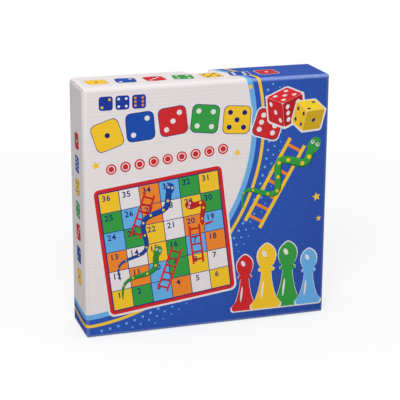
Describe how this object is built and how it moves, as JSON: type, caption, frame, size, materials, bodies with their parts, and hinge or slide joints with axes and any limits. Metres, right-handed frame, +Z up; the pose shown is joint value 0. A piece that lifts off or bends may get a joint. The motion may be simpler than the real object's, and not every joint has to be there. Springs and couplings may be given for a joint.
{
  "type": "boxed board game set",
  "caption": "Square card game box standing on a side wall: a lift-off lid over a base that holds an insert, pawns, a die, a leaflet and a folding board on a taped hinge.",
  "frame": {"origin": "middle of the box's footprint, on the surface that it stands on", "axes": "+X to the right of someone facing the lid, +Y from the lid's face to the base's floor, +Z up"},
  "size_m": [0.24, 0.05, 0.24],
  "materials": {
    "printed_card": "white litho print with blue, red, yellow and green, satin varnish, on fluted card",
    "base_card": "plain blue print, satin, on fluted card",
    "insert_card": "unprinted white-lined card",
    "leaflet_paper": "uncoated white paper",
    "grey_board": "bare grey board",
    "ladders_print": "coloured print, satin",
    "ludo_print": "coloured print, satin",
    "backing_paper": "plain blue paper with a fine embossed grain",
    "hinge_tape": "fine linen tape",
    "die_plastic": "polished",
    "pip_paint": "matt paint",
    "pawn_red": "moulded",
    "pawn_blue": "moulded",
    "pawn_yellow": "moulded",
    "pawn_green": "moulded"
  },
  "bodies": {
    "base": {"base_shell": "base_card", "insert_tray": "insert_card", "rules_leaflet": "leaflet_paper", "die": "die_plastic", "die_pips": "pip_paint", "pawn_red_1": "pawn_red", "pawn_red_2": "pawn_red", "pawn_red_3": "pawn_red", "pawn_red_4": "pawn_red", "pawn_blue_1": "pawn_blue", "pawn_blue_2": "pawn_blue", "pawn_blue_3": "pawn_blue", "pawn_blue_4": "pawn_blue", "pawn_yellow_1": "pawn_yellow", "pawn_yellow_2": "pawn_yellow", "pawn_yellow_3": "pawn_yellow", "pawn_yellow_4": "pawn_yellow", "pawn_green_1": "pawn_green", "pawn_green_2": "pawn_green", "pawn_green_3": "pawn_green", "pawn_green_4": "pawn_green", "ludo_half_core": "grey_board", "ludo_print_sheet": "ludo_print", "ludo_backing_sheet": "backing_paper", "hinge_tape_back_leaf": "hinge_tape"},
    "lid": {"lid_shell": "printed_card"},
    "board_front": {"ladders_half_core": "grey_board", "ladders_print_sheet": "ladders_print", "ladders_backing_sheet": "backing_paper", "hinge_tape_front_leaf": "hinge_tape"}
  },
  "joints": [
    {"name": "lid_slide", "type": "slide", "parent": "base", "child": "lid", "axis": [0, -1, 0], "range_m": [0, 0.12]},
    {"name": "board_fold", "type": "hinge", "parent": "base", "child": "board_front", "pos_m": [-0.111, -0.0107, 0.118], "axis": [0, 0, -1], "range_deg": [0, 2.3]}
  ]
}
